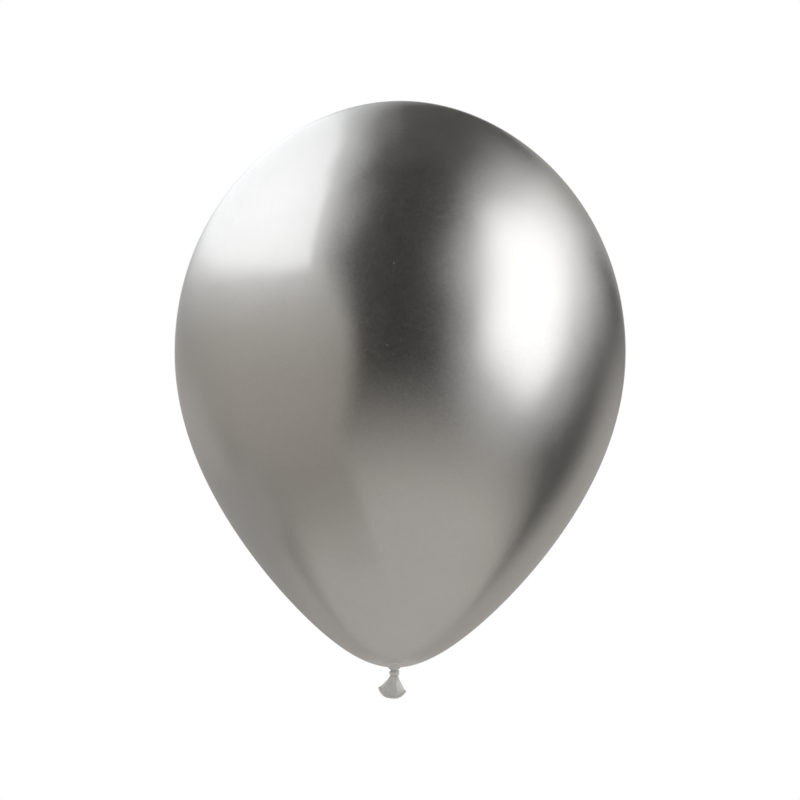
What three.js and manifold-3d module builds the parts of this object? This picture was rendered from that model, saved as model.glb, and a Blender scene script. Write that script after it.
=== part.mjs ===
// A chrome latex balloon, blown up and tied: the thin film envelope, the neck gathered in its base, the knot,
// the tail that fans out under the knot, and the rolled lip along the tail's free edge.
// Millimetres, +Z up, with the origin at the centre of the envelope's widest circle.
import * as THREE from "three";
import { mergeVertices } from "three/addons/utils/BufferGeometryUtils.js";
import Module from "manifold-3d";

const wasm = await Module();
wasm.setup();

// Driving dimensions
const SEAT_GAP = 0.3; // left between two pieces that touch
const WIDEST_RADIUS = 165; // the envelope is 330 across at its widest circle
const CROWN_HEIGHT = 183.5; // from the widest circle up to the crown
const BASE_DEPTH = 231.3; // from the widest circle down to the base
const CROWN_TAPER = 0.041; // share of its radius that the film loses towards the crown
const BASE_TAPER = 0.36; // and towards the base, which makes the drop shape
const BASE_BEND = 2.2; // the base and the tied end sit this far left of the axis
const FILM = 0.4; // wall of the envelope
const CROWN_FLAT_RADIUS = 6; // the thick spot at the crown is flat to a tenth of a millimetre
const SHOULDER_RADIUS = 6.5; // where the film starts to turn down into its mouth
const MOUTH_RADIUS = 4.1; // the film's mouth, which the gathered neck fills
const MOUTH_DROP = 1.1; // from the shoulder down to the mouth

const NECK_PLEATS = 10; // folds of the gathered neck
const PLEAT_DEPTH = 0.35;
const NECK_INSIDE = 0.9; // how far the neck reaches up into the mouth
const NECK_OUTSIDE = 0.7; // and how much of it shows between the mouth and the knot

const KNOT_CORE_RADIUS = 2.1; // the strand that runs down through the knot
const KNOT_STRAND_RADIUS = 1.15; // the strand that is wound round it
const KNOT_WIDE_RADIUS = 2.75; // from the core's middle to the strand's middle, at the top turn
const KNOT_NARROW_RADIUS = 2.45; // and at the bottom turn
const KNOT_HEIGHT = 4.4; // over both turns
const KNOT_TURNS = 1.4;

const TAIL_OFFSET = 0.2; // the tail leaves the knot a little left of its middle
const TAIL_LEAN = 0.12; // it hangs 7 degrees to the left
const THROAT_HALF_WIDTH = 3.5; // the tail where it leaves the knot
const THROAT_HALF_DEPTH = 3.2;
const THROAT_HEIGHT = 0.7; // its upright part, where a ribbon is wound
const LIP_HALF_WIDTH = 9.1; // the tail at its free edge
const LIP_HALF_DEPTH = 3.8;
const EAR_DROP = 8.2; // from throat to free edge, along the tail's two folded sides
const FAN_DROP = 13.4; // and down the middle of its two faces
const TAIL_BLUNT = 0.72; // below 1, the flattened tail has flat faces and round sides, not an ellipse's points
const EAR_CURVE = 2.4; // how suddenly the free edge turns up to the two ears
const TAIL_WALL = 0.6;
const LIP_RADIUS = 0.85; // the rolled bead

// Levels, worked out from the above
const filmShoulder = outline(shoulderAngle()).y;
const filmMouth = filmShoulder - MOUTH_DROP;
const knotTop = filmMouth - NECK_OUTSIDE - SEAT_GAP;
const knotBottom = knotTop - KNOT_HEIGHT;
const throatTop = knotBottom - SEAT_GAP;

const stretchedLatex = new THREE.MeshStandardMaterial({
  color: 0xb9b7b2,
  metalness: 1,
  roughness: 0.24,
});
const slackLatex = new THREE.MeshStandardMaterial({
  color: 0xa3a09a,
  metalness: 0.9,
  roughness: 0.42,
});

// The film's outline, as radius and height, at an angle up from the widest circle.
function outline(angle) {
  const rise = Math.sin(angle);
  const above = rise > 0;
  const taper = above ? CROWN_TAPER * rise ** 4 : BASE_TAPER * rise ** 2;
  const height = above ? CROWN_HEIGHT : BASE_DEPTH;
  return new THREE.Vector2(
    WIDEST_RADIUS * Math.cos(angle) * (1 - taper),
    height * rise,
  );
}

// The angle at which the outline near the crown or the base comes in to a radius.
function angleAtRadius(radius, taper) {
  return Math.acos(radius / (WIDEST_RADIUS * (1 - taper)));
}

function shoulderAngle() {
  return -angleAtRadius(SHOULDER_RADIUS, BASE_TAPER);
}

// Outline points from the crown down to the film's mouth, moved inwards by an inset.
function filmProfile(inset) {
  const UPPER_STEPS = 13;
  const LOWER_STEPS = 17;
  const MOUTH_STEPS = 4;
  const top = angleAtRadius(CROWN_FLAT_RADIUS, CROWN_TAPER);
  const bottom = shoulderAngle();
  const points = [];
  for (let i = 0; i < UPPER_STEPS; i++) {
    points.push(outline(top * (1 - i / UPPER_STEPS)));
  }
  for (let i = 0; i <= LOWER_STEPS; i++) {
    points.push(outline((bottom * i) / LOWER_STEPS));
  }
  for (let i = 1; i <= MOUTH_STEPS; i++) {
    const turn = (Math.PI / 2) * (i / MOUTH_STEPS);
    const reach = SHOULDER_RADIUS - MOUTH_RADIUS;
    points.push(
      new THREE.Vector2(
        MOUTH_RADIUS + reach * (1 - Math.sin(turn)),
        filmShoulder - MOUTH_DROP * (1 - Math.cos(turn)),
      ),
    );
  }
  const moved = points.map((p, i) => {
    const before = points[Math.max(i - 1, 0)];
    const after = points[Math.min(i + 1, points.length - 1)];
    const along = after.clone().sub(before).normalize();
    const inward = new THREE.Vector2(along.y, -along.x);
    return p.clone().addScaledVector(inward, inset);
  });
  moved[0].set(points[0].x, points[0].y - inset);
  moved.at(-1).y = points.at(-1).y;
  return moved;
}

function envelope() {
  const AROUND = 48;
  const outside = filmProfile(0);
  const inside = filmProfile(FILM).reverse();
  const section = [
    new THREE.Vector2(0, outside[0].y),
    ...outside,
    ...inside,
    new THREE.Vector2(0, inside.at(-1).y),
  ];
  const film = new THREE.LatheGeometry(section.reverse(), AROUND);
  film.rotateX(Math.PI / 2);
  const place = film.getAttribute("position");
  for (let i = 0; i < place.count; i++) {
    const depth = THREE.MathUtils.clamp(-place.getZ(i) / BASE_DEPTH, 0, 1);
    place.setX(i, place.getX(i) - BASE_BEND * depth ** 4);
  }
  return film;
}

// The neck where it is drawn together: a short bunch of pleats that fills the film's mouth.
function gatheredNeck() {
  const STEPS_PER_PLEAT = 6;
  const steps = NECK_PLEATS * STEPS_PER_PLEAT;
  const crest = MOUTH_RADIUS - FILM - SEAT_GAP;
  const rim = [];
  for (let i = 0; i < steps; i++) {
    const around = (2 * Math.PI * i) / steps;
    const dip = 0.5 - 0.5 * Math.cos(NECK_PLEATS * around);
    const radius = crest - PLEAT_DEPTH * dip;
    rim.push(
      new THREE.Vector2(radius * Math.cos(around), radius * Math.sin(around)),
    );
  }
  const bunch = new THREE.ExtrudeGeometry(new THREE.Shape(rim), {
    depth: NECK_INSIDE + NECK_OUTSIDE,
    bevelEnabled: false,
  });
  bunch.translate(0, 0, filmMouth - NECK_OUTSIDE);
  return bunch;
}

// The strand wound round the core. It starts and ends inside the core, so that the turns grow out of it.
class KnotWinding extends THREE.Curve {
  constructor(from, to) {
    super();
    this.from = from;
    this.to = to;
  }

  getPoint(share) {
    const t = this.from + (this.to - this.from) * share;
    const tuck = Math.min(1, Math.min(t, 1 - t) / 0.14);
    const eased = Math.sin((tuck * Math.PI) / 2);
    const wide =
      KNOT_WIDE_RADIUS + (KNOT_NARROW_RADIUS - KNOT_WIDE_RADIUS) * t;
    const radius = THREE.MathUtils.lerp(
      KNOT_CORE_RADIUS - KNOT_STRAND_RADIUS,
      wide,
      eased,
    );
    const around = 2 * Math.PI * KNOT_TURNS * t - Math.PI / 3;
    const top = knotTop - KNOT_STRAND_RADIUS;
    const bottom = knotBottom + KNOT_STRAND_RADIUS;
    return new THREE.Vector3(
      radius * Math.cos(around),
      radius * Math.sin(around),
      top + (bottom - top) * t,
    );
  }
}

function knot() {
  const SIDES = 10;
  const section = new THREE.Shape();
  section.absarc(0, 0, KNOT_STRAND_RADIUS, 0, 2 * Math.PI);
  const stretches = [0, 0.36, 0.68, 1];
  const windings = stretches.slice(1).map((to, i) => {
    return new THREE.ExtrudeGeometry(section, {
      steps: 12,
      curveSegments: SIDES,
      bevelEnabled: false,
      extrudePath: new KnotWinding(stretches[i] - (i ? 0.02 : 0), to),
    });
  });
  const core = new THREE.CylinderGeometry(
    KNOT_CORE_RADIUS,
    KNOT_CORE_RADIUS,
    KNOT_HEIGHT,
    16,
  );
  core.rotateX(Math.PI / 2);
  core.translate(0, 0, (knotTop + knotBottom) / 2);
  return geometryOf(
    windings.map(solidOf).reduce((sum, part) => sum.add(part), solidOf(core)),
  );
}

// A point of the tail: share runs from the throat (0) to the free edge (1), around is the angle about its middle,
// and inset moves it inwards.
function tailPoint(around, share, inset) {
  const spread = Math.max(share, 0) ** 1.15;
  const halfWidth = THREE.MathUtils.lerp(
    THROAT_HALF_WIDTH,
    LIP_HALF_WIDTH,
    spread,
  );
  const halfDepth = THREE.MathUtils.lerp(
    THROAT_HALF_DEPTH,
    LIP_HALF_DEPTH,
    spread,
  );
  const blunt = THREE.MathUtils.lerp(1, TAIL_BLUNT, THREE.MathUtils.clamp(share, 0, 1));
  const cosine = Math.cos(around);
  const sine = Math.sin(around);
  const x = (halfWidth - inset) * Math.sign(cosine) * Math.abs(cosine) ** blunt;
  const y = (halfDepth - inset) * Math.sign(sine) * Math.abs(sine) ** blunt;
  const face = 1 - Math.abs(cosine) ** EAR_CURVE;
  const drop = THREE.MathUtils.lerp(EAR_DROP, FAN_DROP, face) * share;
  return new THREE.Vector3(
    x - TAIL_LEAN * drop,
    y,
    throatTop - THROAT_HEIGHT - drop - TAIL_LEAN * x * share,
  );
}

const TAIL_AROUND = 38; // an even number that isn't a multiple of 4 puts a flat facet at the front

// A closed body between two shares of the tail, bent from a cylinder.
function tailLoft(fromShare, toShare, inset, rings) {
  const loft = new THREE.CylinderGeometry(1, 1, 1, TAIL_AROUND, rings);
  const place = loft.getAttribute("position");
  for (let i = 0; i < place.count; i++) {
    const across = Math.hypot(place.getX(i), place.getZ(i));
    const around = Math.atan2(place.getX(i), place.getZ(i)) + Math.PI / 2;
    const share = THREE.MathUtils.lerp(
      fromShare,
      toShare,
      0.5 - place.getY(i),
    );
    const wall = tailPoint(around, share, inset);
    const middle = tailPoint(0, share, inset)
      .add(tailPoint(Math.PI, share, inset))
      .multiplyScalar(0.5);
    const point = middle.lerp(wall, across);
    place.setXYZ(i, point.x, point.y, point.z);
  }
  return loft;
}

function tailSkirt() {
  const throat = new THREE.CylinderGeometry(1, 1, THROAT_HEIGHT, TAIL_AROUND);
  throat.rotateY(Math.PI / 2);
  throat.rotateX(Math.PI / 2);
  throat.scale(THROAT_HALF_WIDTH, THROAT_HALF_DEPTH, 1);
  throat.translate(0, 0, throatTop - THROAT_HEIGHT / 2);
  const pocketTop = 0.16; // above this share the film is drawn together, with no room inside
  const outside = solidOf(tailLoft(0, 1, 0, 8));
  const pocket = solidOf(tailLoft(pocketTop, 1.12, TAIL_WALL, 8));
  return geometryOf(outside.subtract(pocket).add(solidOf(throat)));
}

// The bead along the tail's free edge, just past the end of the wall.
function rolledLip() {
  const TUBE_SIDES = 8;
  const AROUND = 48;
  const HALF_STEP = 0.01;
  const lip = new THREE.TorusGeometry(1, 0.1, TUBE_SIDES, AROUND);
  const place = lip.getAttribute("position");
  const inset = TAIL_WALL / 2;
  for (let i = 0; i < place.count; i++) {
    const around = Math.atan2(place.getY(i), place.getX(i));
    const out = Math.hypot(place.getX(i), place.getY(i)) - 1;
    const turn = Math.atan2(place.getZ(i), out);
    const edge = tailPoint(around, 1, inset);
    const past = edge.clone().sub(tailPoint(around, 1 - HALF_STEP, inset));
    const along = tailPoint(around + HALF_STEP, 1, inset).sub(
      tailPoint(around - HALF_STEP, 1, inset),
    );
    past.addScaledVector(along, -past.dot(along) / along.lengthSq());
    past.normalize();
    const side = along.normalize().cross(past);
    const point = edge.addScaledVector(past, SEAT_GAP + LIP_RADIUS);
    point.addScaledVector(side, LIP_RADIUS * Math.cos(turn));
    point.addScaledVector(past, LIP_RADIUS * Math.sin(turn));
    place.setXYZ(i, point.x, point.y, point.z);
  }
  return lip;
}

// A closed geometry as a solid that can be joined and cut, and back.
function solidOf(geometry) {
  const bare = new THREE.BufferGeometry();
  bare.setAttribute("position", geometry.getAttribute("position"));
  bare.setIndex(geometry.index);
  const merged = mergeVertices(bare, 1e-4);
  return new wasm.Manifold(
    new wasm.Mesh({
      numProp: 3,
      vertProperties: new Float32Array(merged.getAttribute("position").array),
      triVerts: new Uint32Array(merged.index.array),
    }),
  );
}

function geometryOf(solid) {
  const { vertProperties, triVerts } = solid.getMesh();
  const made = new THREE.BufferGeometry();
  made.setAttribute(
    "position",
    new THREE.BufferAttribute(new Float32Array(vertProperties), 3),
  );
  made.setIndex(new THREE.BufferAttribute(new Uint32Array(triVerts), 1));
  made.computeVertexNormals();
  return made;
}

function piece(name, geometry, material) {
  const mesh = new THREE.Mesh(geometry, material);
  mesh.name = name;
  return mesh;
}

const tail = new THREE.Group();
tail.position.x = -TAIL_OFFSET;
tail.add(piece("tail_skirt", tailSkirt(), slackLatex));
tail.add(piece("rolled_lip", rolledLip(), slackLatex));

const tiedEnd = new THREE.Group();
tiedEnd.position.x = -BASE_BEND;
tiedEnd.add(piece("gathered_neck", gatheredNeck(), slackLatex));
tiedEnd.add(piece("knot", knot(), slackLatex));
tiedEnd.add(tail);

const balloon = new THREE.Group();
balloon.add(piece("envelope", envelope(), stretchedLatex));
balloon.add(tiedEnd);

export default balloon;
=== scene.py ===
import math

import bpy
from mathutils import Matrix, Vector


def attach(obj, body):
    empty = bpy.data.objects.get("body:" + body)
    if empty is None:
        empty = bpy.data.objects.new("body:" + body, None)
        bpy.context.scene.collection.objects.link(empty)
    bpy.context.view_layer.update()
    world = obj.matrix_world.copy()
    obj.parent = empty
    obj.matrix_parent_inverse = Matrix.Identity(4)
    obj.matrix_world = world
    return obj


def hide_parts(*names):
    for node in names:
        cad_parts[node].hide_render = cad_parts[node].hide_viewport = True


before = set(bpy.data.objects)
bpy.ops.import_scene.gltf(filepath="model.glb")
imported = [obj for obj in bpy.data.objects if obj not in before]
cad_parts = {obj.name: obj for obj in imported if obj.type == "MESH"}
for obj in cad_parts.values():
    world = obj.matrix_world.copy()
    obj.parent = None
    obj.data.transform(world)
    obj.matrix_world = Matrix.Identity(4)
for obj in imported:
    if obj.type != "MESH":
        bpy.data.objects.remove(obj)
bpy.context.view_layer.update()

# Studio.
# The balloon floats level with a long lens, over a pale floor. A softbox, a window scrim and a grey wall
# stand far off round it. The mirror skin shows them, but the camera sees plain white past the floor.
PHOTO_PIXELS = 800
PIXEL = 0.0007326  # one of the photograph's pixels, measured at the balloon
PHOTO_CENTRE_X = 0.00025  # what the middle of the photograph looks at
PHOTO_CENTRE_Z = -0.0353
CAMERA_DISTANCE = 3.0
CAMERA_ROLL = 0.52  # degrees: the balloon's top leans to the right
SENSOR_WIDTH = 36  # millimetres

scene = bpy.context.scene
scene.view_settings.view_transform = "Standard"

bpy.ops.object.select_all(action="DESELECT")
bpy.ops.object.camera_add(
    location=(PHOTO_CENTRE_X, -CAMERA_DISTANCE, PHOTO_CENTRE_Z),
    rotation=(math.radians(90), math.radians(-CAMERA_ROLL), 0),
)
camera = bpy.context.object
camera.data.sensor_width = SENSOR_WIDTH
camera.data.lens = SENSOR_WIDTH * CAMERA_DISTANCE / (PHOTO_PIXELS * PIXEL)
camera.data.clip_end = 100
scene.camera = camera

studio = bpy.data.worlds.new("studio")
scene.world = studio
studio.use_nodes = True
sky = studio.node_tree
sky.nodes.clear()


def calculate(tree, operation, first, second=None, third=None):
    """A Math node on numbers or sockets; gives its output socket."""
    node = tree.nodes.new("ShaderNodeMath")
    node.operation = operation
    for socket, value in zip(node.inputs, (first, second, third)):
        if value is None:
            continue
        if isinstance(value, bpy.types.NodeSocket):
            tree.links.new(value, socket)
        else:
            socket.default_value = value
    return node.outputs[0]


def fade(tree, value, start, end):
    """From 0 at start to 1 at end, with a smooth shoulder at both."""
    node = tree.nodes.new("ShaderNodeMapRange")
    node.interpolation_type = "SMOOTHSTEP"
    tree.links.new(value, node.inputs["Value"])
    for name, limit in (("From Min", start), ("From Max", end)):
        if isinstance(limit, bpy.types.NodeSocket):
            tree.links.new(limit, node.inputs[name])
        else:
            node.inputs[name].default_value = limit
    return node.outputs["Result"]


def blended(tree, share, under, over):
    """One colour over another by a share."""
    node = tree.nodes.new("ShaderNodeMix")
    node.data_type = "RGBA"
    for socket, value in zip((node.inputs[0], node.inputs[6], node.inputs[7]), (share, under, over)):
        if isinstance(value, bpy.types.NodeSocket):
            tree.links.new(value, socket)
        else:
            socket.default_value = value
    return node.outputs[2]


def light(level, warmth=0.0):
    """A radiance of a level, with a warm or cool tint."""
    return (level * (1 + warmth), level, level * (1 - 1.6 * warmth), 1)


# Directions round the balloon, in degrees: azimuth 0 is towards the camera and 90 to the right.
direction = sky.nodes.new("ShaderNodeTexCoord").outputs["Generated"]
split = sky.nodes.new("ShaderNodeSeparateXYZ")
sky.links.new(direction, split.inputs[0])
to_right, away, upward = split.outputs
azimuth = calculate(sky, "DEGREES", calculate(
    sky, "ARCTAN2", to_right, calculate(sky, "MULTIPLY", away, -1)))
elevation = calculate(sky, "DEGREES", calculate(sky, "ARCSINE", upward))


def turned_from(centre):
    """How far the azimuth is from a centre, going either way round."""
    return calculate(sky, "WRAP", calculate(sky, "SUBTRACT", azimuth, centre), 180, -180)


def soft_shape(across, up, softness, roundness):
    """The share of a rounded shape of half size 1. Its edge fades over the softness."""
    across = calculate(sky, "POWER", calculate(sky, "ABSOLUTE", across), roundness)
    up = calculate(sky, "POWER", calculate(sky, "ABSOLUTE", up), roundness)
    reach = calculate(sky, "POWER", calculate(sky, "ADD", across, up), 1 / roundness)
    return fade(sky, reach, 1 + softness, 1 - softness)


def panel(centre, width, height, softness, roundness=4, rise=0):
    """A panel in the round: centre (azimuth, elevation), half width and half height in degrees. Rise tips it,
    in degrees for each degree round."""
    round_ = turned_from(centre[0])
    level = calculate(sky, "SUBTRACT", elevation, centre[1])
    if rise:
        level = calculate(sky, "SUBTRACT", level, calculate(sky, "MULTIPLY", round_, rise))
    across, up = calculate(sky, "DIVIDE", round_, width), calculate(sky, "DIVIDE", level, height)
    return soft_shape(across, up, softness, roundness)


def along(way):
    """How far the direction reaches along a way."""
    node = sky.nodes.new("ShaderNodeVectorMath")
    node.operation = "DOT_PRODUCT"
    sky.links.new(direction, node.inputs[0])
    node.inputs[1].default_value = way
    return node.outputs["Value"]


def board(centre, roll, width, height, softness, roundness):
    """A flat board that faces the balloon: centre and roll in degrees, half width and half height for a
    distance of 1."""
    round_, up, roll = (math.radians(angle) for angle in (*centre, roll))
    ahead = Vector((math.sin(round_) * math.cos(up), -math.cos(round_) * math.cos(up), math.sin(up)))
    left = Vector((-math.cos(round_), -math.sin(round_), 0))
    top = left.cross(ahead)
    turned_left = left * math.cos(roll) + top * math.sin(roll)
    turned_top = top * math.cos(roll) - left * math.sin(roll)
    distance = calculate(sky, "MAXIMUM", along(ahead), 0.000001)
    across = calculate(sky, "DIVIDE", calculate(sky, "DIVIDE", along(turned_left), distance), width)
    up = calculate(sky, "DIVIDE", calculate(sky, "DIVIDE", along(turned_top), distance), height)
    return soft_shape(across, up, softness, roundness)


def wave(middle, swing, centre):
    """A number that swings once round the balloon. At the centre's azimuth it is middle plus swing."""
    cosine = calculate(sky, "COSINE", calculate(sky, "RADIANS", turned_from(centre)))
    return calculate(sky, "MULTIPLY_ADD", cosine, swing, middle)


def both(first, second):
    """The share where two shares overlap."""
    return calculate(sky, "MULTIPLY", first, second)


# The dark room, a little lighter behind
behind = fade(sky, calculate(sky, "ABSOLUTE", azimuth), 60, 160)
surroundings = blended(sky, behind, light(0.009, 0.05), light(0.052, 0.03))

# The floor, which fades in slowly towards the camera and sharply behind. It is less warm straight below.
FLOOR_LEVEL = 0.554
floor_edge = wave(middle=-41.3, swing=8.9, centre=18)
floor_fade = calculate(sky, "MAXIMUM", wave(middle=16.3, swing=17.9, centre=0), 2)
floor_start = calculate(sky, "ADD", floor_edge, floor_fade)
floor_share = fade(sky, elevation, floor_start, calculate(sky, "SUBTRACT", floor_edge, floor_fade))
straight_below = fade(sky, elevation, -45, -75)
floor_light = blended(sky, straight_below, light(FLOOR_LEVEL, 0.035), light(FLOOR_LEVEL, 0.018))
surroundings = blended(sky, floor_share, surroundings, floor_light)

# A grey wall on the left, from just left of the camera to behind the balloon, where it fades out. It gets
# lighter upwards, and its right end bows away from the camera above and below.
WALL_END = -23.2  # azimuth of the right end at the middle of its bow
WALL_BOW_MIDDLE = -3.2  # elevation of that middle
WALL_BOW = 0.0112  # how far the end bows, for each square degree up or down from there
bow = calculate(sky, "SUBTRACT", elevation, WALL_BOW_MIDDLE)
bow = calculate(sky, "MINIMUM", calculate(sky, "MAXIMUM", bow, -30), 40)
bow = calculate(sky, "MULTIPLY", calculate(sky, "MULTIPLY", bow, bow), WALL_BOW)
wall_edge = calculate(sky, "ADD", calculate(sky, "SUBTRACT", azimuth, WALL_END), bow)
above = calculate(sky, "MAXIMUM", calculate(sky, "SUBTRACT", elevation, 10), 0)
wall_fade = calculate(sky, "MULTIPLY_ADD", above, 0.307, 7.2)
wall_foot = calculate(sky, "SUBTRACT", elevation, wave(middle=-12.5, swing=-51.9, centre=-45.9))
wall_right = fade(sky, wall_edge, wall_fade, calculate(sky, "MULTIPLY", wall_fade, -1))
wall_round = both(wall_right, fade(sky, turned_from(-147.9), -60, 60))
wall_share = both(wall_round, both(fade(sky, wall_foot, -24.1, 24.1), fade(sky, elevation, 82.8, 51.4)))
wall = blended(sky, fade(sky, elevation, -52, -12), light(0.315, 0.06), light(0.405, 0.054))
wall = blended(sky, fade(sky, elevation, -12, 33), wall, light(0.619, 0.012))
surroundings = blended(sky, wall_share, surroundings, wall)

# The low wall behind
low_wall = panel(centre=(185, -27), width=56, height=27.4, softness=0.25)
surroundings = blended(sky, low_wall, surroundings, light(0.45, 0.03))

# A dim strip of light on the walls behind, which slopes straight down from beside the softbox to the left
STRIP_SLOPE = 0.756
strip_line = calculate(sky, "SINE", calculate(sky, "RADIANS", azimuth))
strip_line = calculate(sky, "ARCTANGENT", calculate(sky, "MULTIPLY", strip_line, STRIP_SLOPE))
strip_line = calculate(sky, "DEGREES", strip_line)
strip_off = calculate(sky, "ABSOLUTE", calculate(sky, "SUBTRACT", elevation, strip_line))
strip_share = both(fade(sky, strip_off, 13, 4.2), fade(sky, turned_from(93.3), -10, 10))
strip_share = both(strip_share, fade(sky, turned_from(-97), 15, -15))
surroundings = blended(sky, strip_share, surroundings, light(0.361, 0.02))

# The softbox on the right: the halo above it, the spill of its light round it, and its bright face
halo = panel(centre=(88.4, 31.4), width=39.7, height=21.3, softness=0.98, roundness=1.83)
surroundings = blended(sky, halo, surroundings, light(1.636, -0.005))
spill = panel(centre=(67.2, 3.9), width=30, height=27.9, softness=0.78, roundness=2.13, rise=0.124)
surroundings = blended(sky, spill, surroundings, light(1.002, -0.005))
box_face = board(
    centre=(71.6, 17.5), roll=31.7, width=0.372, height=0.557, softness=0.61, roundness=4.03)
surroundings = blended(sky, box_face, surroundings, light(1.842, -0.005))

# The window scrim on the left, in a lit reveal. Its lower edge rises towards the camera, and it is a little
# darker behind.
SCRIM_CENTRE = (-110.9, -82)
SCRIM_FOOT = 8.8  # elevation of its lower edge behind the balloon
scrim_round = turned_from(-165)
scrim_slope = calculate(sky, "MULTIPLY_ADD", scrim_round, 0.00005, 0.199)
scrim_rise = calculate(sky, "MULTIPLY", scrim_round, scrim_slope)
scrim_edge = calculate(sky, "SUBTRACT", calculate(sky, "SUBTRACT", elevation, SCRIM_FOOT), scrim_rise)
reveal = panel(SCRIM_CENTRE, width=74.2, height=151.2, softness=0.096, roundness=2.99)
reveal_share = both(reveal, fade(sky, scrim_edge, -17.5, 17.5))
surroundings = blended(sky, reveal_share, surroundings, light(1.096, -0.018))
opening = panel(SCRIM_CENTRE, width=71.6, height=145.9, softness=0.022, roundness=2.99)
scrim_share = both(opening, fade(sky, scrim_edge, -4.6, 4.6))
scrim = blended(sky, fade(sky, turned_from(-180), 75, 0), light(1.576, -0.018), light(1.366, -0.018))
surroundings = blended(sky, scrim_share, surroundings, scrim)

# The slack latex and the floor, which don't mirror, are lit by the same room with its walls whitened
WHITENED = 0.66
rays = sky.nodes.new("ShaderNodeLightPath")
soft = calculate(sky, "MULTIPLY", rays.outputs["Is Diffuse Ray"], WHITENED)
seen = blended(sky, soft, surroundings, light(1.05))
seen = blended(sky, rays.outputs["Is Camera Ray"], seen, light(1.0))
glow = sky.nodes.new("ShaderNodeBackground")
sky.links.new(seen, glow.inputs["Color"])
out = sky.nodes.new("ShaderNodeOutputWorld")
sky.links.new(glow.outputs[0], out.inputs["Surface"])

# A wide light overhead throws the balloon's soft shadow on the floor. The mirror skin doesn't show it.
bpy.ops.object.light_add(type="AREA", location=(-0.3, -0.2, 2.2))
overhead = bpy.context.object
overhead.name = "overhead_light"
overhead.data.shape = "DISK"
overhead.data.size = 1.1
overhead.data.energy = 34
overhead.visible_glossy = False
overhead.visible_camera = False

# The floor: matt and pale, solid under the balloon and fading out towards its rim, and unseen from below
FLOOR_Z = -0.75
FLOOR_RADIUS = 4.2
FLOOR_SOLID_RADIUS = 1.6
bpy.ops.mesh.primitive_circle_add(
    vertices=96, radius=FLOOR_RADIUS, fill_type="NGON", location=(0, 0, FLOOR_Z))
floor = bpy.context.object
floor.name = "floor"
floor.visible_glossy = False
pale = bpy.data.materials.new("pale_floor")
pale.use_nodes = True
shader = pale.node_tree.nodes["Principled BSDF"]
shader.inputs["Base Color"].default_value = (0.66, 0.65, 0.635, 1)
shader.inputs["Roughness"].default_value = 0.7
place = pale.node_tree.nodes.new("ShaderNodeTexCoord").outputs["Object"]
reach = pale.node_tree.nodes.new("ShaderNodeVectorMath")
reach.operation = "LENGTH"
pale.node_tree.links.new(place, reach.inputs[0])
edge = fade(pale.node_tree, reach.outputs["Value"], FLOOR_RADIUS, FLOOR_SOLID_RADIUS)
under = pale.node_tree.nodes.new("ShaderNodeNewGeometry").outputs["Backfacing"]
edge = calculate(pale.node_tree, "MULTIPLY", edge, calculate(pale.node_tree, "SUBTRACT", 1, under))
pale.node_tree.links.new(edge, shader.inputs["Alpha"])
floor.data.materials.append(pale)

# Envelope.
# The stretched film: latex full of mirror-like metal pigment, blown up until it is a few hundredths of a
# millimetre thick. It is one skin, dipped on a former, and narrows at the bottom into its own neck.
WIDEST_RADIUS = 0.165
CROWN_HEIGHT = 0.1835  # over the widest circle
CROWN_TAPER = 0.041  # the share of its radius that the outline loses towards the axis
CROWN_FLAT_RADIUS = 0.006
CROWN_RINGS = 52
BASE_DEPTH = 0.2313  # under the widest circle, if the outline ran on to the axis
BASE_TAPER = 0.36
BASE_BEND = 0.0022  # the base sits this far left of the axis
BASE_RINGS = 84
SHOULDER_RADIUS = 0.0065  # where the outline turns down into the mouth
MOUTH_RADIUS = 0.0041
MOUTH_DROP = 0.0011
MOUTH_RINGS = 8
FILM_SIDES = 192
FILM_THICKNESS = 0.0004  # as the solid has it


def outline(angle):
    """Radius and height of the film, at an angle up from its widest circle."""
    rise = math.sin(angle)
    taper = CROWN_TAPER * rise**4 if rise > 0 else BASE_TAPER * rise**2
    height = CROWN_HEIGHT if rise > 0 else BASE_DEPTH
    return WIDEST_RADIUS * math.cos(angle) * (1 - taper), height * rise


def select_where(piece, test):
    """In edit mode, selects the vertices whose place passes a test."""
    bpy.ops.mesh.select_mode(type="VERT")
    bpy.ops.mesh.select_all(action="DESELECT")
    bpy.ops.object.mode_set(mode="OBJECT")
    for vertex in piece.data.vertices:
        vertex.select = test(vertex.co)
    bpy.ops.object.mode_set(mode="EDIT")


def extrude_ring(radius, height, last_radius, last_height):
    """Extrudes the selected ring to a new radius and height."""
    bpy.ops.mesh.extrude_edges_move(
        TRANSFORM_OT_translate={"value": (0, 0, height - last_height)})
    share = radius / last_radius
    bpy.ops.transform.resize(value=(share, share, 1), center_override=(0, 0, height))


def finish_piece(piece, node, material):
    """Smooths a piece, gives it its material, and lets it stand for its node."""
    piece.data.materials.append(material)
    bpy.context.view_layer.objects.active = piece
    bpy.ops.object.select_all(action="DESELECT")
    piece.select_set(True)
    bpy.ops.object.shade_smooth()
    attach(piece, "root")
    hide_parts(node)


def apply_modifier(piece, kind, **settings):
    """Adds a modifier to a piece and applies it."""
    bpy.context.view_layer.objects.active = piece
    modifier = piece.modifiers.new(kind.lower(), kind)
    for name, value in settings.items():
        setattr(modifier, name, value)
    bpy.ops.object.modifier_apply(modifier=modifier.name)


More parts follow.
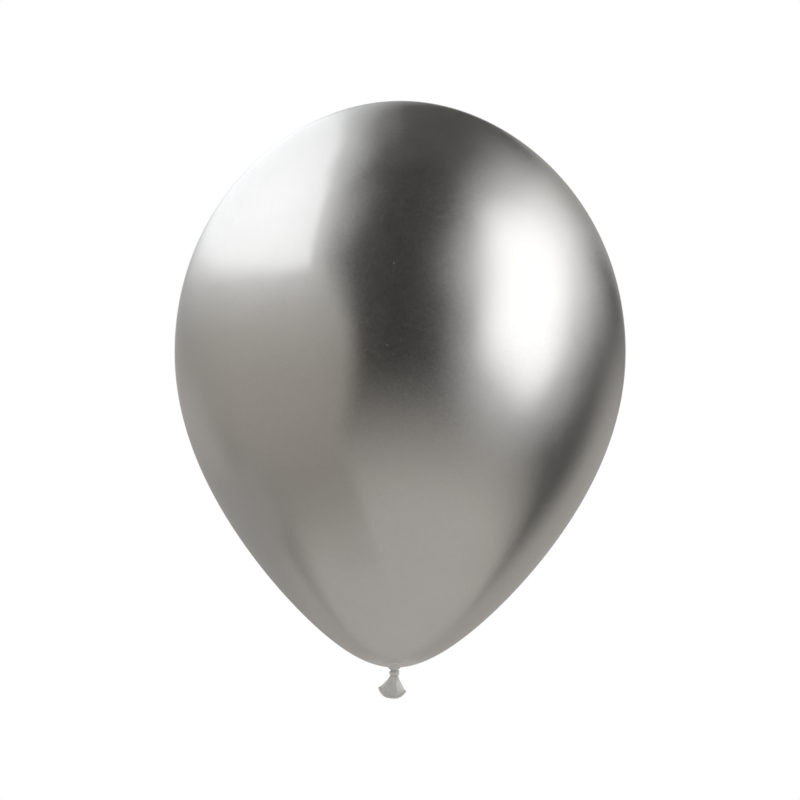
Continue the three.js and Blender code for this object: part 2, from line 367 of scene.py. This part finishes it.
bpy.ops.object.select_all(action="DESELECT")
bpy.ops.mesh.primitive_circle_add(vertices=FILM_SIDES, radius=WIDEST_RADIUS)
film = bpy.context.object
film.name = "stretched_film"
bpy.ops.object.mode_set(mode="EDIT")
crown_angle = math.acos(CROWN_FLAT_RADIUS / (WIDEST_RADIUS * (1 - CROWN_TAPER)))
ring = outline(0)
for i in range(1, CROWN_RINGS + 1):
    next_ring = outline(crown_angle * i / CROWN_RINGS)
    extrude_ring(*next_ring, *ring)
    ring = next_ring
bpy.ops.mesh.fill_grid()

# From the widest circle again, down to the mouth
select_where(film, lambda co: abs(co.z) < 1e-6)
shoulder_angle = -math.acos(SHOULDER_RADIUS / (WIDEST_RADIUS * (1 - BASE_TAPER)))
ring = outline(0)
for i in range(1, BASE_RINGS + 1):
    share = i / BASE_RINGS
    closer = 0.6 * share + 0.4 * math.sin(share * math.pi / 2)  # the rings draw closer towards the shoulder
    next_ring = outline(shoulder_angle * closer)
    extrude_ring(*next_ring, *ring)
    ring = next_ring
shoulder_z = ring[1]
for i in range(1, MOUTH_RINGS + 1):
    turn = math.pi / 2 * i / MOUTH_RINGS
    next_ring = (
        MOUTH_RADIUS + (SHOULDER_RADIUS - MOUTH_RADIUS) * (1 - math.sin(turn)),
        shoulder_z - MOUTH_DROP * (1 - math.cos(turn)),
    )
    extrude_ring(*next_ring, *ring)
    ring = next_ring
mouth_z = ring[1]
bpy.ops.mesh.select_all(action="SELECT")
bpy.ops.mesh.normals_make_consistent(inside=False)
bpy.ops.object.mode_set(mode="OBJECT")

# Round the mouth the film is creased by the gathers of the neck, and the base sits a little left of the axis
NECK_PLEATS = 10
MOUTH_PLEAT = 0.00035
CREASE_REACH = 0.024
CREASE_LIFT = 0.6


def pleat(around, count, turn=0.0):
    """How far a gathered surface is drawn in, from 0 on a pleat's crest to 1 in its sharp valley. No two
    pleats are equally wide."""
    uneven = around + 0.13 * math.sin(2 * around + 1 + turn) + 0.07 * math.sin(5 * around + 2 * turn)
    return 1 - abs(math.cos(count * uneven / 2))


for vertex in film.data.vertices:
    x, y, z = vertex.co
    out = math.hypot(x, y)
    if z < 0 and out < CREASE_REACH:
        gathered = (CREASE_REACH - out) / (CREASE_REACH - MOUTH_RADIUS)
        dent = MOUTH_PLEAT * gathered**2.5 * pleat(math.atan2(y, x), NECK_PLEATS)
        x, y, z = x * (1 - dent / out), y * (1 - dent / out), z + dent * CREASE_LIFT
    x -= BASE_BEND * max(0, -z / BASE_DEPTH) ** 4
    vertex.co = (x, y, z)
apply_modifier(film, "SOLIDIFY", thickness=FILM_THICKNESS, offset=-1)


def noise(tree, place, scale, detail, spread=(1, 1, 1)):
    """Smooth noise round 0.5, in cells of 1/scale metres, drawn out by the spread."""
    stretch = tree.nodes.new("ShaderNodeMapping")
    stretch.inputs["Scale"].default_value = tuple(scale / length for length in spread)
    tree.links.new(place, stretch.inputs["Vector"])
    node = tree.nodes.new("ShaderNodeTexNoise")
    node.inputs["Scale"].default_value = 1
    node.inputs["Detail"].default_value = detail
    tree.links.new(stretch.outputs[0], node.inputs["Vector"])
    return node.outputs["Fac"]


def grain(tree, place, scale):
    """A random number for each grain of pigment, in grains of 1/scale metres."""
    node = tree.nodes.new("ShaderNodeTexVoronoi")
    node.inputs["Scale"].default_value = scale
    tree.links.new(place, node.inputs["Vector"])
    parts = tree.nodes.new("ShaderNodeSeparateColor")
    tree.links.new(node.outputs["Color"], parts.inputs[0])
    return parts.outputs[0]


def relief(tree, height, depth, under=None):
    """Bump of a real depth in metres, on top of another."""
    node = tree.nodes.new("ShaderNodeBump")
    node.inputs["Strength"].default_value = 1
    node.inputs["Distance"].default_value = depth
    tree.links.new(height, node.inputs["Height"])
    if under is not None:
        tree.links.new(under, node.inputs["Normal"])
    return node.outputs[0]


def nearness(tree, place, centre, far, near):
    """From 0 beyond the far distance from a centre to 1 within the near one."""
    away = tree.nodes.new("ShaderNodeVectorMath")
    away.operation = "DISTANCE"
    tree.links.new(place, away.inputs[0])
    away.inputs[1].default_value = centre
    return fade(tree, away.outputs["Value"], far, near)


FILM_TINT = (0.634, 0.624, 0.606, 1)
FILM_TINT_LIGHTER = (0.664, 0.654, 0.634, 1)
THICK_TINT = (0.6, 0.59, 0.57, 1)
FLAKE_TINT = (0.86, 0.85, 0.83, 1)
PIGMENT_GRAINS = 14000  # to a metre
COARSE_GRAINS = 1800  # to a metre, of which two or three in a thousand are bright flakes


def chrome_latex(name):
    """Stretched silver latex. Most of the metal pigment lies flat in the film and mirrors the room; the rest
    is askew, and lays a haze over it, with a few coarse flakes that glint where the room is dark. The film is
    thicker and duller at the crown and where the neck begins."""
    material = bpy.data.materials.new(name)
    material.use_nodes = True
    tree = material.node_tree
    skin = tree.nodes["Principled BSDF"]
    place = tree.nodes.new("ShaderNodeTexCoord").outputs["Object"]
    slack = nearness(tree, place, (-BASE_BEND, 0, mouth_z), far=0.04, near=0.008)
    thick = nearness(tree, place, (0, 0, CROWN_HEIGHT), far=0.014, near=0.002)
    thick = calculate(tree, "MULTIPLY", thick, 0.6)
    flake = fade(tree, grain(tree, place, COARSE_GRAINS), 0.996, 0.998)
    mottle = noise(tree, place, scale=30, detail=3)
    tint = blended(tree, mottle, FILM_TINT, FILM_TINT_LIGHTER)
    tint = blended(tree, calculate(tree, "MAXIMUM", slack, thick), tint, THICK_TINT)
    tint = blended(tree, flake, tint, FLAKE_TINT)
    tree.links.new(tint, skin.inputs["Base Color"])
    tree.links.new(calculate(tree, "MULTIPLY_ADD", slack, -0.7, 1), skin.inputs["Metallic"])

    askew = fade(tree, grain(tree, place, PIGMENT_GRAINS), 0.4, 0.62)
    streak = noise(tree, place, scale=90, detail=3, spread=(1, 1, 9))
    blur = calculate(tree, "MULTIPLY_ADD", askew, 0.34, 0.07)
    blur = calculate(tree, "MULTIPLY_ADD", streak, 0.03, blur)
    blur = calculate(tree, "MULTIPLY_ADD", flake, 0.62, blur)
    blur = calculate(tree, "MULTIPLY_ADD", slack, 0.24, blur)
    blur = calculate(tree, "MULTIPLY_ADD", thick, 0.2, blur)
    tree.links.new(blur, skin.inputs["Roughness"])

    # Very shallow waves in the blown film, and a faint orange peel
    sway = relief(tree, noise(tree, place, scale=22, detail=1), depth=0.0002)
    peel = relief(tree, noise(tree, place, scale=600, detail=2), depth=0.000004, under=sway)
    tree.links.new(peel, skin.inputs["Normal"])
    return material


finish_piece(film, "envelope", chrome_latex("stretched_latex"))

# Gathered neck.
# Past the film's mouth the latex isn't stretched any more. It is drawn together in uneven pleats, thicker and
# satin instead of mirror-like, and runs down into the knot.
NECK_STEPS = (  # radius, and height over the film's mouth
    (0.0031, 0.0009), (0.0035, 0.0006), (0.0039, 0.0004), (0.00406, 0.0002), (0.00412, 0),
    (0.00406, -0.00016), (0.0038, -0.00034), (0.0034, -0.00056), (0.0031, -0.0008),
    (0.0028, -0.00105), (0.0024, -0.0013),
)
NECK_SIDES = 120
PLEAT_DEEPENING = 0.0002  # how much deeper the pleats get on the way down
SLACK_TINT = (0.57, 0.56, 0.535, 1)
SLACK_TINT_LIGHTER = (0.63, 0.622, 0.602, 1)
PIGMENT_TINT = (0.82, 0.81, 0.79, 1)


def plain_tube(name, sides, rings):
    """A tube of radius 1 round the Z axis, open at both ends, with ring 0 at z = 0 and ring 1 at z = -1."""
    bpy.ops.object.select_all(action="DESELECT")
    bpy.ops.mesh.primitive_circle_add(vertices=sides, radius=1)
    tube = bpy.context.object
    tube.name = name
    bpy.ops.object.mode_set(mode="EDIT")
    for _ in range(rings):
        bpy.ops.mesh.extrude_edges_move(TRANSFORM_OT_translate={"value": (0, 0, -1)})
    bpy.ops.object.mode_set(mode="OBJECT")
    return tube


def shape_tube(tube, place_of):
    """Moves each vertex of a plain tube to its place, from its ring's number and its angle round the axis."""
    for vertex in tube.data.vertices:
        around = math.atan2(vertex.co.y, vertex.co.x)
        vertex.co = place_of(round(-vertex.co.z), around)


def close_ends(tube):
    """Fills the open rims and turns the faces outwards."""
    bpy.ops.object.select_all(action="DESELECT")
    bpy.context.view_layer.objects.active = tube
    tube.select_set(True)
    bpy.ops.object.mode_set(mode="EDIT")
    bpy.ops.mesh.select_mode(type="EDGE")
    bpy.ops.mesh.select_all(action="DESELECT")
    bpy.ops.mesh.select_non_manifold()
    bpy.ops.mesh.edge_face_add()
    bpy.ops.mesh.select_all(action="SELECT")
    bpy.ops.mesh.normals_make_consistent(inside=False)
    bpy.ops.object.mode_set(mode="OBJECT")


def neck_place(ring, around):
    """A point of the gathered neck's skin, from its ring and its angle round the neck."""
    radius, over = NECK_STEPS[ring]
    radius -= (MOUTH_PLEAT + PLEAT_DEEPENING * ring / len(NECK_STEPS)) * pleat(around, NECK_PLEATS)
    return Vector((-BASE_BEND + radius * math.cos(around), radius * math.sin(around), mouth_z + over))


def satin_latex(name, crease_spread, fan=None):
    """Slack latex: the same pigment in thick, wrinkled rubber, which scatters the light instead of mirroring
    it. Its creases are drawn out by the spread. A fan (the height of its top, its middle and its lean) makes
    them spread out downwards from its top."""
    material = bpy.data.materials.new(name)
    material.use_nodes = True
    tree = material.node_tree
    skin = tree.nodes["Principled BSDF"]
    place = tree.nodes.new("ShaderNodeTexCoord").outputs["Object"]
    creased = place
    if fan is not None:
        fan_top, fan_middle, fan_lean = fan
        parts = tree.nodes.new("ShaderNodeSeparateXYZ")
        tree.links.new(place, parts.inputs[0])
        depth = calculate(tree, "SUBTRACT", fan_top, parts.outputs["Z"])
        off_middle = calculate(tree, "MULTIPLY_ADD", depth, fan_lean, parts.outputs["X"])
        off_middle = calculate(tree, "SUBTRACT", off_middle, fan_middle)
        # The creases have their plain width 10 mm below the fan's top
        across = calculate(tree, "MULTIPLY", calculate(tree, "DIVIDE", off_middle, depth), 0.01)
        join = tree.nodes.new("ShaderNodeCombineXYZ")
        for value, socket in zip((across, parts.outputs["Y"], parts.outputs["Z"]), join.inputs):
            tree.links.new(value, socket)
        creased = join.outputs[0]
    mottle = noise(tree, place, scale=350, detail=4)
    tint = blended(tree, mottle, SLACK_TINT, SLACK_TINT_LIGHTER)
    pigment = grain(tree, place, PIGMENT_GRAINS)
    bright = calculate(tree, "MULTIPLY", fade(tree, pigment, 0.7, 1), 0.25)
    tint = blended(tree, bright, tint, PIGMENT_TINT)
    tree.links.new(tint, skin.inputs["Base Color"])
    skin.inputs["Metallic"].default_value = 0.3
    blur = calculate(tree, "MULTIPLY_ADD", mottle, 0.16, 0.4)
    blur = calculate(tree, "MULTIPLY_ADD", fade(tree, pigment, 0.6, 1), -0.1, blur)
    tree.links.new(blur, skin.inputs["Roughness"])

    creases = noise(tree, creased, scale=1400, detail=3, spread=crease_spread)
    creases = relief(tree, creases, depth=0.00016)
    skin_grain = relief(tree, noise(tree, place, scale=7000, detail=2), depth=0.000012, under=creases)
    tree.links.new(skin_grain, skin.inputs["Normal"])
    return material


neck = plain_tube("pleated_neck", NECK_SIDES, len(NECK_STEPS) - 1)
shape_tube(neck, neck_place)
close_ends(neck)
finish_piece(neck, "gathered_neck", satin_latex("neck_latex", crease_spread=(1, 1, 8)))

# Knot.
# The bunched neck with its own strand wound almost once and a half round it and pulled tight: bare rubber,
# flattened where it presses on itself, with the creases of the pulled strand running round it.
KNOT_TOP = mouth_z - 0.001
KNOT_HEIGHT = 0.0044
KNOT_CORE_RADIUS = 0.0021
KNOT_STRAND_RADIUS = 0.00115
KNOT_WIDE_RADIUS = 0.00275
KNOT_NARROW_RADIUS = 0.00245
KNOT_TURNS = 1.4
CORE_STEPS = (  # radius, and depth under the knot's top
    (0.0020, 0), (0.0026, 0.0001), (0.00275, 0.0004), (0.0026, 0.001), (0.0023, 0.0018),
    (0.0023, 0.0026), (0.0026, 0.0033), (0.0029, 0.0038), (0.00285, 0.0042), (0.0022, 0.0044),
)
CORE_PLEAT = 0.0005
WINDING_RINGS = 72
WINDING_SIDES = 44
WINDING_TUCK = 0.14  # the share of the winding, at each end, that dives into the core
STRAND_CREASES = 7
STRAND_CREASE = 0.00017
KNOT_VOXEL = 0.00009


def winding_place(ring, around):
    """A point of the strand that winds round the core, from its ring and its angle round the strand."""
    share = ring / WINDING_RINGS
    tuck = math.sin(min(1, min(share, 1 - share) / WINDING_TUCK) * math.pi / 2)
    out = KNOT_WIDE_RADIUS + (KNOT_NARROW_RADIUS - KNOT_WIDE_RADIUS) * share
    out = (KNOT_CORE_RADIUS - KNOT_STRAND_RADIUS) * (1 - tuck) + out * tuck
    turn = 2 * math.pi * KNOT_TURNS * share - math.pi / 3
    crease = STRAND_CREASE * pleat(around + 2.5 * share, STRAND_CREASES, 3 * share)
    swell = 1 + 0.05 * math.sin(2.3 * turn + 0.6)
    thick = KNOT_STRAND_RADIUS * swell - crease
    out += thick * math.cos(around)
    level = KNOT_TOP - KNOT_STRAND_RADIUS - (KNOT_HEIGHT - 2 * KNOT_STRAND_RADIUS) * share
    # The strand wanders a little up and down, and is a little taller than wide
    level += 0.00012 * math.sin(turn * 1.7 + 0.5) + thick * 1.15 * math.sin(around)
    level = min(max(level, KNOT_TOP - KNOT_HEIGHT), KNOT_TOP)
    return Vector((-BASE_BEND + out * math.cos(turn), out * math.sin(turn), level))


def core_place(ring, around):
    """A point of the bunched core, from its ring and its angle round the core."""
    radius, under = CORE_STEPS[ring]
    radius -= CORE_PLEAT * pleat(around, NECK_PLEATS)
    return Vector((-BASE_BEND + radius * math.cos(around), radius * math.sin(around), KNOT_TOP - under))


winding = plain_tube("knot_winding", WINDING_SIDES, WINDING_RINGS)
shape_tube(winding, winding_place)
close_ends(winding)
knot = plain_tube("tied_knot", NECK_SIDES, len(CORE_STEPS) - 1)
shape_tube(knot, core_place)
close_ends(knot)
winding.select_set(True)
bpy.ops.object.join()
apply_modifier(knot, "REMESH", mode="VOXEL", voxel_size=KNOT_VOXEL)
apply_modifier(knot, "SMOOTH", factor=0.5, iterations=2)
finish_piece(knot, "knot", satin_latex("knot_latex", crease_spread=(7, 7, 1)))

# Tail.
# The neck's slack end, below the knot: a flattened tube, open at the bottom, that leaves the knot in pleats
# and fans out to its full width. It hangs a little to the left.
TAIL_MIDDLE = -BASE_BEND - 0.0002
TAIL_LEAN = 0.12  # how far it hangs to the left, for each metre down
THROAT_TOP = KNOT_TOP - KNOT_HEIGHT - 0.0003
THROAT_HEIGHT = 0.0007
THROAT_HALF_WIDTH = 0.0035
THROAT_HALF_DEPTH = 0.0032
LIP_HALF_WIDTH = 0.0091
LIP_HALF_DEPTH = 0.0038
LIP_SPREAD = 1.15  # the width grows with this power of the way down
EAR_DROP = 0.0082  # from the throat down to the lip at the tail's two ends
FAN_DROP = 0.0134  # and at the middle of its faces
EAR_CURVE = 2.4  # the higher it is, the closer to its two ends the lip turns up
TAIL_BLUNT = 0.72  # the further below 1, the flatter the lip's faces and the fuller its ends
TAIL_WALL = 0.0006
TAIL_SIDES = 260
TAIL_PLEAT = 0.00065  # at the throat, over the faint one that runs on to the lip
FAINT_PLEAT = 0.00005
PLEATS_END = 0.9  # the share of the way down where the throat's pleats have run out
FACE_WAVE = 0.0003
LIP_WAVE = 0.0002
THROAT_STEPS = (  # share of the throat's width, and height over its top
    (0.6, 0.0007), (0.7, 0.00057), (0.78, 0.0004), (0.84, 0.00025), (0.88, 0.0001),
    (0.92, -0.0001), (0.95, -0.0003),
)
OUTER_RINGS = 50
EDGE_RINGS = 3
INNER_RINGS = 40
EDGE_BULGE = 0.03  # how far the free edge rounds past the end, as a share of the tail
POCKET_TOP = 0.12  # above this share of the tail its pleats close on each other


def blunted(value, share):
    """A sine or cosine, for a section that turns from an ellipse at the throat to flatter faces below."""
    return math.copysign(abs(value) ** (1 + (TAIL_BLUNT - 1) * min(max(share, 0), 1)), value)


def tail_point(around, share, inset):
    """A point of the tail's wall. Share runs from 0, the throat, to 1, the free edge. Inset moves it in."""
    spread = max(share, 0) ** LIP_SPREAD
    half_width = THROAT_HALF_WIDTH + (LIP_HALF_WIDTH - THROAT_HALF_WIDTH) * spread
    half_depth = THROAT_HALF_DEPTH + (LIP_HALF_DEPTH - THROAT_HALF_DEPTH) * spread
    gathered = max(0, 1 - share / PLEATS_END) ** 1.2
    fold = (FAINT_PLEAT + TAIL_PLEAT * gathered) * pleat(around, NECK_PLEATS) + inset
    # The two faces wave in and out on the way down
    swing = FACE_WAVE * math.sin(math.pi * min(share, 1)) * math.sin(5 * around + 0.8)
    across = (half_width - fold) * blunted(math.cos(around), share)
    deep = (half_depth - fold + swing) * blunted(math.sin(around), share)
    face = 1 - abs(math.cos(around)) ** EAR_CURVE
    drop = (EAR_DROP + (FAN_DROP - EAR_DROP) * face) * share
    drop += LIP_WAVE * share**2 * math.sin(3 * around + 0.5)
    return Vector((
        TAIL_MIDDLE + across - TAIL_LEAN * drop,
        deep,
        THROAT_TOP - THROAT_HEIGHT - drop - TAIL_LEAN * across * share,
    ))


def tail_place(ring, around):
    """A point of the tail's skin: down the throat and the outside, round the free edge, and up the inside."""
    if ring < len(THROAT_STEPS):
        narrow, over = THROAT_STEPS[ring]
        point = tail_point(around, 0, 0)
        return Vector((TAIL_MIDDLE + (point.x - TAIL_MIDDLE) * narrow, point.y * narrow, THROAT_TOP + over))
    ring -= len(THROAT_STEPS)
    if ring < OUTER_RINGS:
        return tail_point(around, ring / (OUTER_RINGS - 1), 0)
    ring -= OUTER_RINGS
    if ring < EDGE_RINGS:
        turn = math.pi * (ring + 1) / (EDGE_RINGS + 1)
        return tail_point(around, 1 + EDGE_BULGE * math.sin(turn), TAIL_WALL * (1 - math.cos(turn)) / 2)
    up = (ring - EDGE_RINGS) / (INNER_RINGS - 1)
    share = 1 + (POCKET_TOP - 1) * up
    point = tail_point(around, share, TAIL_WALL)
    middle = (tail_point(0, share, 0) + tail_point(math.pi, share, 0)) / 2
    # The pocket narrows over the top part of its way, and ends almost closed
    narrowing = 0.94 * max(0, (up - 0.45) / 0.55) ** 1.6
    return middle.lerp(point, 1 - narrowing)


tail_rings = len(THROAT_STEPS) + OUTER_RINGS + EDGE_RINGS + INNER_RINGS
tail = plain_tube("tail_fan", TAIL_SIDES, tail_rings - 1)
shape_tube(tail, tail_place)
close_ends(tail)
crease_fan = (THROAT_TOP + 0.008, TAIL_MIDDLE, TAIL_LEAN)
tail_latex = satin_latex("tail_latex", crease_spread=(1, 2, 9), fan=crease_fan)
finish_piece(tail, "tail_skirt", tail_latex)

# Rolled lip.
# The free edge of the neck is rolled up on itself while the latex is still wet, into a bead. It stands a
# little proud of the wall, and shows as a small ear at each side.
LIP_RADIUS = 0.00085
LIP_OFF = 0.0002  # from where the edge starts to round over, down to the bead
HALF_STEP = 0.01  # how far off a point of the rim its direction is measured

bpy.ops.object.select_all(action="DESELECT")
bpy.ops.mesh.primitive_torus_add(
    major_radius=1, minor_radius=0.1, major_segments=144, minor_segments=18)
lip = bpy.context.object
lip.name = "rolled_lip_bead"
for vertex in lip.data.vertices:
    around = math.atan2(vertex.co.y, vertex.co.x)
    turn = math.atan2(vertex.co.z, math.hypot(vertex.co.x, vertex.co.y) - 1)
    inset = TAIL_WALL / 2
    rim = tail_point(around, 1, inset)
    past = rim - tail_point(around, 1 - HALF_STEP, inset)
    run = tail_point(around + HALF_STEP, 1, inset) - tail_point(around - HALF_STEP, 1, inset)
    run.normalize()
    past = (past - run * past.dot(run)).normalized()
    side = run.cross(past)
    thick = LIP_RADIUS * (1 + 0.05 * math.sin(3 * around + 1) + 0.03 * math.sin(7 * around))
    middle = rim + past * (LIP_OFF + LIP_RADIUS)
    vertex.co = middle + side * thick * math.cos(turn) + past * thick * math.sin(turn)
bpy.ops.object.mode_set(mode="EDIT")
bpy.ops.mesh.select_all(action="SELECT")
bpy.ops.mesh.normals_make_consistent(inside=False)
bpy.ops.object.mode_set(mode="OBJECT")
apply_modifier(lip, "SMOOTH", factor=0.5, iterations=4)
finish_piece(lip, "rolled_lip", satin_latex("lip_latex", crease_spread=(2, 2, 2)))
